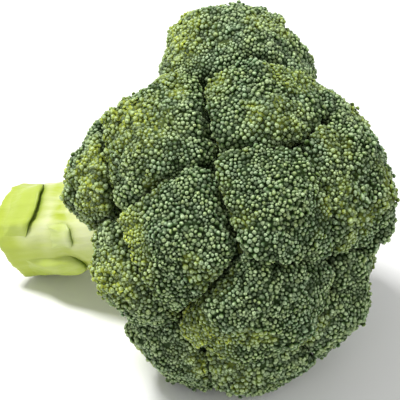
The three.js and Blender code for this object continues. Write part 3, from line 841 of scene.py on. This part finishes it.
def core_material(settings, mottle):
    material, nodes, shader = new_material("floret_core")
    # The loose core is mottled yellow-green, with painted bud shade between the loose buds.
    stems = nodes.mottled(
        mottle, nodes.place(), (settings.bud_loose, settings.bud_shade), 4 * MM, 1.2 * MM, 0.5)
    # Painted shade: the core, seen only between the buds, takes the furrow shade where the buds are not
    # loose.
    shade = nodes.mix(nodes.attribute("loose"), settings.furrow_shade, stems)
    nodes.fill(shader, {"Base Color": shade, "Roughness": 0.75, "Specular IOR Level": 0.2})
    return material


def stem_material(settings, mottle):
    material, nodes, shader = new_material("small_stems")
    pale = nodes.mottled(mottle, nodes.place(), (settings.stem, settings.bud_loose), 6 * MM, 1.5 * MM, 0.4)
    nodes.fill(shader, {"Base Color": pale, "Roughness": 0.5, "Specular IOR Level": 0.28})
    return material


def stalk_material(settings, mottle, skin):
    """Pale skin with streaks that run along the stalk, darker green in the creases (partly its own green,
    partly painted shade), and greener towards the florets.
    """
    material, nodes, shader = new_material("stalk_skin")
    turn = (0, -TILT, 0)
    streaked = nodes.place(turn, STREAK_STRETCH)
    pale = nodes.mottled(
        mottle, nodes.place(turn), (settings.skin, settings.flesh), 26 * MM, 8 * MM, 0.6)
    streaks = nodes.ramp(nodes.noise(streaked, 1 / (1.6 * MM), 3.0), 0.40, 0.72, 0.0, 0.45)
    fibres = nodes.mix(streaks, pale, settings.flesh)
    veins = nodes.ramp(nodes.noise(streaked, 1 / (3.4 * MM)), 0.55, 0.75, 0.0, 0.35)
    shade = nodes.mix(veins, fibres, settings.skin)
    for name, colour in zip(("ripeness", "greening", "crease"),
                            (settings.skin, settings.shoot, settings.crease)):
        shade = nodes.mix(nodes.attribute(name), shade, colour)
    nodes.fill(shader, {
        "Base Color": shade, "Normal": nodes.skinned(skin, streaked, 0.5 * MM, 2.2 * MM, 0.35 * MM),
        "Roughness": nodes.ramp(streaks, 0.0, 0.45, 0.36, 0.5), "Specular IOR Level": 0.28,
        "Subsurface Weight": 0.2, "Subsurface Radius": (2.5 * MM, 2.5 * MM, 0.8 * MM),
        "Subsurface Scale": 1.0})
    return material


def cut_material(settings, mottle):
    """The cut end of the stalk: moist pale flesh inside a ring of fibres and a green rim."""
    material, nodes, shader = new_material("cut_flesh")
    outward = nodes.attribute("outward")
    place = nodes.place((0, -TILT, 0))
    flesh = nodes.mottled(mottle, place, (settings.pith, settings.flesh), 7 * MM, 0.7 * MM, 0.5)
    fibre = nodes.math("SUBTRACT", nodes.ramp(outward, 0.70, 0.76), nodes.ramp(outward, 0.84, 0.90))
    bundles = nodes.ramp(nodes.noise(place, 1 / (0.9 * MM)), 0.42, 0.62, 0.25, 0.9)
    ringed = nodes.mix(nodes.math("MULTIPLY", fibre, bundles), flesh, settings.fibre)
    nodes.fill(shader, {
        "Base Color": nodes.mix(nodes.ramp(outward, 0.90, 0.99), ringed, settings.skin),
        "Normal": nodes.bump(nodes.noise(place, 1 / (1.1 * MM), 4.0), 0.5, 0.3 * MM),
        "Roughness": nodes.ramp(outward, 0.2, 0.9, 0.42, 0.62)})
    return material


# ---------------------------------------------------------------- stalk
STALK_LENGTH = 108.8 * MM    # from the middle of the crown back to the cut end
STREAK_STRETCH = (7, 1, 1)   # streaks are this much longer along the stalk
SOFT_ROUNDS = 5
RIM_SECTORS = 36
CUT_DEPTH = 1.6 * MM         # faces this near the cut end, which face back, are cut flesh
END_RING = 1.2 * MM          # how near the cut end the rim is measured
FACES_END = 0.75             # cosine past which a face belongs to the cut
GREEN_FROM, GREEN_OVER = 62 * MM, 45 * MM            # along the stalk, where it turns greener
BRANCH_FROM, BRANCH_OVER = 19 * MM, 16 * MM          # outward from its axis, where its branches do
RIPE_LENGTH = 16 * MM        # how soon the yellow at the cut end fades
THICK_BASE = 2.6 * MM        # a thinner leaf base runs out more softly at its sides
BASE_NET = (44, 36)          # steps across a leaf base and along it
THIN_FROM = 1.5              # bases thinner than this share of the thick one have wider margins
MARGIN_WIDTHS = (0.38, 0.4)  # of the sides and of the root, and how much wider a thin base has them
THIN_MARGIN = 0.5
BASE_STAND = 0.3 * MM
MARGIN_SINK = 0.5 * MM
HOLLOW_SHARE = 0.55          # height of the hollow under the free part, as a share of its thickness, and more
HOLLOW_LIFT = 0.8 * MM
CREASE_SHARES = (0.9, 0.25)  # how much painted crease shade, with some of the stalk's own darker green, the hollow and the lip get
EDGE_WAVER = 0.35 * MM
EDGE_WAVES = 7
EDGE_SHADE = 5 * MM          # how far back from the free edge its shade reaches
EDGE_FADE = 2.2
ROOT_DEPTH = 1.1 * MM        # how far a leaf base reaches into the stem
FREE_FROM, FREE_OVER = 0.66, 0.34                    # along a leaf base, where its end comes free
LIP_FROM, LIP_OVER = 0.86, 0.14                      # and where its cut lip narrows
THINNEST_LIP = 0.25 * MM


def stem_place(points):
    """How far each point is along the stalk from its cut end, its turn round the stalk, and its radius."""
    offset = points - np.array(CROWN_MIDDLE)
    flank, front = offset @ np.array(FLANK), offset @ np.array(FRONT)
    return offset @ np.array(AXIS) + STALK_LENGTH, np.arctan2(front, flank), np.hypot(flank, front)


def on_stem(along, turn, radius):
    """The point at a place along and round the stalk."""
    outward = np.outer(np.cos(turn), FLANK) + np.outer(np.sin(turn), FRONT)
    return np.array(CROWN_MIDDLE) + np.outer(along - STALK_LENGTH, AXIS) + outward * radius[:, None]


def eased(values):
    """Values kept from 0 to 1, with a soft start and end."""
    values = np.clip(values, 0, 1)
    return values**2 * (3 - 2 * values)


def mesh_points(mesh):
    points = np.empty(len(mesh.vertices) * 3)
    mesh.vertices.foreach_get("co", points)
    normals = np.empty(len(mesh.vertices) * 3)
    mesh.vertex_normals.foreach_get("vector", normals)
    return points.reshape(-1, 3), normals.reshape(-1, 3)


def softened_solid(name, corners, faces, grain, rounds):
    """The same form in even small faces, with its edges a little rounded."""
    piece = make_object(name, corners, faces)
    remesh = piece.modifiers.new("Remesh", "REMESH")
    remesh.mode = "VOXEL"
    remesh.voxel_size = grain
    smooth = piece.modifiers.new("Smooth", "SMOOTH")
    smooth.factor = 0.5
    smooth.iterations = rounds
    return applied(piece)


def swell(mesh, unevenness, seed):
    """Raises soft swellings, and ribs that run along the stalk."""
    points, normals = mesh_points(mesh)
    along, turn, radius = stem_place(points)
    soft = smooth_noise(points, 15 * MM, seed) - 0.5
    lines = smooth_noise(np.stack([along / 9, turn * 19 * MM, radius * 0], axis=1), 5 * MM, seed + 1) - 0.5
    points = points + normals * ((2 * soft + 0.9 * lines) * unevenness)[:, None]
    points[:, 2] = np.maximum(points[:, 2], 0)
    mesh.vertices.foreach_set("co", points.ravel())
    mesh.update()


LEAF_BASE_LOOKS = {          # how far each free edge lifts off the stem, and how ripe the base is
    "leaf_base_upper": (1.0, 0.95), "leaf_base_front": (0.62, 0.3), "leaf_base_lower": (0.45, 0.3),
    "leaf_base_back": (0.8, 0.4),
}


class LeafBase:
    """The foot of a leaf on the stem: it grows out of the skin and ends in a free cut edge."""

    def __init__(self, name, index):
        corners, _ = merged_copy(name)
        along, turn, radius = stem_place(corners)
        self.name = name
        self.seed = 60 + index
        self.lift, self.ripeness = LEAF_BASE_LOOKS[name]
        self.middle = (turn.min() + turn.max()) / 2
        self.half = (turn.max() - turn.min()) / 2
        self.start = along.min()
        columns = np.round(np.degrees(turn), 1)
        places = np.unique(columns)
        sideways = (np.radians(places) - self.middle) / self.half
        reach = [along[columns == column].max() for column in places]
        self.curve = np.polyfit(sideways, reach, 3)
        thickness = []
        for column in places:
            mine = columns == column
            order = np.lexsort((radius[mine], np.round(along[mine] / MM, 2)))
            pairs = radius[mine][order].reshape(-1, 2)
            thickness.append(pairs[:, 1] - pairs[:, 0])
        self.sideways, self.thickness = sideways, np.array(thickness)

    def edge(self, sideways):
        """How far along the stalk the free edge is. It wavers a little."""
        waver = EDGE_WAVER * np.sin(EDGE_WAVES * sideways + self.seed) * (1 - sideways**2)
        return np.polyval(self.curve, sideways) + waver

    def body(self, sideways, share):
        """Thickness at a place across the base and along it."""
        steps = np.linspace(0, 1, self.thickness.shape[1])
        rows = np.array([np.interp(share, steps, row) for row in self.thickness])
        return np.array([np.interp(place, self.sideways, rows[:, index])
                         for index, place in enumerate(sideways)])

    def shape(self, stem):
        """Corners and faces, and how much painted crease shade each corner gets, with some of the stalk's own
        darker green.
        """
        across, length = BASE_NET
        sideways = np.repeat(np.linspace(-1, 1, across + 1), length + 1)
        share = np.tile(np.linspace(0, 1, length + 1), across + 1)
        turn = self.middle + sideways * self.half
        along = self.start + (self.edge(sideways) - self.start) * share
        skin = stem_skin(stem, along, turn)
        thin = np.clip(THIN_FROM - self.thickness.max() / THICK_BASE, 0, 1)
        sides, root = (width + THIN_MARGIN * thin for width in MARGIN_WIDTHS)
        margin = eased(np.minimum((1 - np.abs(sideways)) / sides, share / root))
        free = eased((share - FREE_FROM) / FREE_OVER)
        arch = np.sqrt(np.clip(1 - sideways**2, 0, 1))
        full = self.body(sideways, share) + BASE_STAND
        outer = full * margin - MARGIN_SINK * (1 - margin)
        inner = -ROOT_DEPTH + (HOLLOW_SHARE * full + HOLLOW_LIFT) * free * arch * self.lift
        lip = np.clip((share - LIP_FROM) / LIP_OVER, 0, 1) ** 2
        outer = np.maximum(outer - (outer - inner) * 0.5 * lip, inner + THINNEST_LIP)
        corners = np.concatenate([on_stem(along, turn, skin + inner), on_stem(along, turn, skin + outer)])
        row = length + 1
        under, over = 0, (across + 1) * row
        faces = []
        for i in range(across):
            for j in range(length):
                here, side = i * row + j, (i + 1) * row + j
                faces.append((over + here, over + side, over + side + 1, over + here + 1))
                faces.append((under + here, under + here + 1, under + side + 1, under + side))
            for j, flip in ((0, False), (length, True)):
                here, side = i * row + j, (i + 1) * row + j
                face = (under + here, under + side, over + side, over + here)
                faces.append(face[::-1] if flip else face)
        for i, flip in ((0, True), (across, False)):
            for j in range(length):
                here = i * row + j
                face = (under + here, under + here + 1, over + here + 1, over + here)
                faces.append(face[::-1] if flip else face)
        # The hollow under the free part and the narrowing lip get painted crease shade.
        crease = np.concatenate([CREASE_SHARES[0] * free, CREASE_SHARES[1] * lip])
        return corners, faces, crease

    def beside(self, along, turn, reach):
        """How near a place of the stem is to the free edge, fading out over a reach beyond it."""
        around = (turn - self.middle + np.pi) % (2 * np.pi) - np.pi
        sideways = np.clip(around / self.half, -1, 1)
        beyond = along - self.edge(sideways)
        near = np.where(beyond < 0, np.clip(1 + beyond / EDGE_SHADE, 0, 1), np.exp(-np.abs(beyond) / reach))
        return near * np.clip(EDGE_FADE * (1 - np.abs(sideways)), 0, 1) * self.lift


def stem_skin(stem, along, turn):
    """How far the stem's skin is from its axis."""
    reach = []
    for start, angle in zip(on_stem(along, turn, np.zeros(len(along))), turn):
        outward = math.cos(angle) * FLANK + math.sin(angle) * FRONT
        reach.append(stem.ray_cast(Vector(start) + outward * 5 * MM, outward)[3] + 5 * MM)
    return np.array(reach)


class BROCCOLI_OT_dress_stalk(bpy.types.Operator):
    """Smooths the stalk with its branches, and its leaf bases"""

    bl_idname = "broccoli.dress_stalk"
    bl_label = "Dress Stalk"

    def execute(self, context):
        settings = context.scene.broccoli_stalk
        mottle = bpy.data.node_groups.get("Mottle") or mottle_group()
        grain = bpy.data.node_groups.get("Plant Skin") or plant_skin_group()
        skin_paint = stalk_material(settings, mottle, grain)
        cut_paint = cut_material(settings, mottle)
        corners, faces = merged_copy("stalk")
        stalk = softened_solid("stalk_skin", corners, faces, settings.grain, SOFT_ROUNDS)
        swell(stalk.data, settings.unevenness, 41)
        points = mesh_points(stalk.data)[0]
        stem = BVHTree.FromPolygons(
            [Vector(point) for point in points], [polygon.vertices[:] for polygon in stalk.data.polygons])
        bases = [LeafBase(name, index) for index, name in enumerate(LEAF_BASES)]
        along, turn, radius = stem_place(points)
        # Painted crease shade, dark green, on the stem just beyond the free edges of the leaf bases, partly
        # the stalk's own green; the wider halo is yellower.
        creases = [base.beside(along, turn, 0.7 * MM) for base in bases]
        crease = np.max(creases, axis=0) * (radius < 24 * MM) * 0.85
        halo = np.max([base.beside(along, turn, 5 * MM) for base in bases], axis=0)
        self.finish(stalk, "stalk", skin_paint, crease, halo)
        self.mark_cut_end(stalk, cut_paint)
        for base in bases:
            corners, faces, crease = base.shape(stem)
            leaf_base = make_object(base.name + "_skin", corners, faces)
            swell(leaf_base.data, 0.4 * settings.unevenness, base.seed)
            self.finish(leaf_base, base.name, skin_paint, crease, base.ripeness)
        return {"FINISHED"}

    def finish(self, piece, node, paint, crease, ripest):
        smooth_shaded(piece.data)
        piece.data.materials.clear()
        piece.data.materials.append(paint)
        points = mesh_points(piece.data)[0]
        along, turn, radius = stem_place(points)
        # The stalk is greener where it branches, and yellower near its cut end and along its underside.
        greening = np.clip((along - GREEN_FROM) / GREEN_OVER, 0, 0.7)
        greening += np.clip((radius - BRANCH_FROM) / BRANCH_OVER, 0, 0.6)
        greening = np.clip(greening, 0, 0.85) if node == "stalk" else np.full(len(points), 0.12)
        ripe = 1.2 * np.exp(-along / RIPE_LENGTH) + np.clip((np.abs(turn) - 1.25) / 1.0, 0, 0.5)
        ripeness = np.clip(np.maximum(ripe, ripest), 0, 1)
        set_attributes(piece.data, greening=greening, ripeness=ripeness, crease=crease)
        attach(piece, "root")
        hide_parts(node)

    def mark_cut_end(self, stalk, paint):
        mesh = stalk.data
        mesh.materials.append(paint)
        points = mesh_points(mesh)[0]
        along, turn, radius = stem_place(points)
        at_end = along < END_RING
        rim = np.zeros(RIM_SECTORS)
        sector = ((turn + np.pi) / (2 * np.pi) * RIM_SECTORS).astype(int) % RIM_SECTORS
        np.maximum.at(rim, sector[at_end], radius[at_end])
        set_attributes(mesh, outward=radius / np.maximum(rim[sector], 1 * MM))
        for polygon in mesh.polygons:
            middle = (polygon.center - CROWN_MIDDLE).dot(AXIS) + STALK_LENGTH
            if middle < CUT_DEPTH and polygon.normal.dot(-AXIS) > FACES_END:
                polygon.material_index = 1


# ---------------------------------------------------------------- stage
PICTURE = 400
CROWN_SPOT = (232, 215)      # the middle of the crown in the picture
FLOOR_REACH = 3              # metres each way
SKY_STRENGTH = 0.5
LIGHTS = (                   # name, place from the crown in metres, width in metres, and power in watts
    ("key", (-0.42, -0.10, 0.9), 0.28, 14.0), ("fill", (0.3, -1.0, 0.6), 0.8, 2.0),
    ("side", (0.9, 0.1, 0.5), 0.8, 3.0),
)


class BROCCOLI_OT_set_stage(bpy.types.Operator):
    """Sets a pale floor, soft lights and the camera"""

    bl_idname = "broccoli.set_stage"
    bl_label = "Set Stage"

    def execute(self, context):
        scene = context.scene
        settings = scene.broccoli_stage
        self.make_camera(scene, settings)
        corners = [(x * FLOOR_REACH, y * FLOOR_REACH, 0) for x, y in ((-1, -1), (1, -1), (1, 1), (-1, 1))]
        floor = make_object("floor", corners, [(0, 1, 2, 3)])
        material, nodes, shader = new_material("pale_floor")
        nodes.fill(shader, {"Base Color": (0.86, 0.86, 0.85), "Roughness": 0.8})
        floor.data.materials.append(material)
        world = bpy.data.worlds.new("soft_sky")
        scene.world = world
        world.use_nodes = True
        sky = world.node_tree
        Nodes(sky).fill(sky.nodes["Background"].inputs, {"Color": (1, 1, 1), "Strength": SKY_STRENGTH})
        for light in LIGHTS:
            self.make_light(*light)
        scene.view_settings.view_transform = "Standard"
        return {"FINISHED"}

    def make_camera(self, scene, settings):
        azimuth, elevation = settings.azimuth, settings.elevation
        right = Vector((math.cos(azimuth), math.sin(azimuth), 0))
        back = Vector((math.sin(azimuth) * math.cos(elevation), -math.cos(azimuth) * math.cos(elevation),
                       math.sin(elevation)))
        up = back.cross(right)
        pixel = settings.picture_width / PICTURE
        aim = CROWN_MIDDLE + right * (PICTURE / 2 - CROWN_SPOT[0]) * pixel \
            - up * (PICTURE / 2 - CROWN_SPOT[1]) * pixel
        data = bpy.data.cameras.new("camera")
        data.lens = data.sensor_width * settings.distance / settings.picture_width
        data.clip_start = 0.01
        camera = bpy.data.objects.new("camera", data)
        camera.matrix_world = Matrix.Translation(aim + back * settings.distance) \
            @ Matrix((right, up, back)).transposed().to_4x4()
        scene.collection.objects.link(camera)
        scene.camera = camera

    def make_light(self, name, offset, size, power):
        data = bpy.data.lights.new(name, "AREA")
        data.shape = "DISK"
        data.size = size
        data.energy = power
        light = bpy.data.objects.new(name, data)
        light.location = CROWN_MIDDLE + Vector(offset)
        light.rotation_mode = "QUATERNION"
        light.rotation_quaternion = Vector(offset).to_track_quat("Z", "Y")
        bpy.context.scene.collection.objects.link(light)


class BROCCOLI_PT_panel(bpy.types.Panel):
    """Lists the steps that dress the head"""

    bl_idname = "BROCCOLI_PT_panel"
    bl_label = "Broccoli Head"
    bl_space_type = "VIEW_3D"
    bl_region_type = "UI"
    bl_category = "Broccoli"

    def draw(self, context):
        for step in STEPS:
            self.layout.operator(step.bl_idname)


STEPS = (BROCCOLI_OT_grow_florets, BROCCOLI_OT_dress_stalk, BROCCOLI_OT_set_stage)
SETTINGS = (BroccoliFloretSettings, BroccoliStalkSettings, BroccoliStageSettings)


def register():
    for item in (*SETTINGS, *STEPS, BROCCOLI_PT_panel):
        bpy.utils.register_class(item)
    bpy.types.Scene.broccoli_florets = PointerProperty(type=BroccoliFloretSettings)
    bpy.types.Scene.broccoli_stalk = PointerProperty(type=BroccoliStalkSettings)
    bpy.types.Scene.broccoli_stage = PointerProperty(type=BroccoliStageSettings)


def unregister():
    del bpy.types.Scene.broccoli_florets
    del bpy.types.Scene.broccoli_stalk
    del bpy.types.Scene.broccoli_stage
    for item in reversed((*SETTINGS, *STEPS, BROCCOLI_PT_panel)):
        bpy.utils.unregister_class(item)


def main():
    register()
    bpy.ops.broccoli.grow_florets()
    bpy.ops.broccoli.dress_stalk()
    bpy.ops.broccoli.set_stage()


if __name__ == "__main__":
    main()
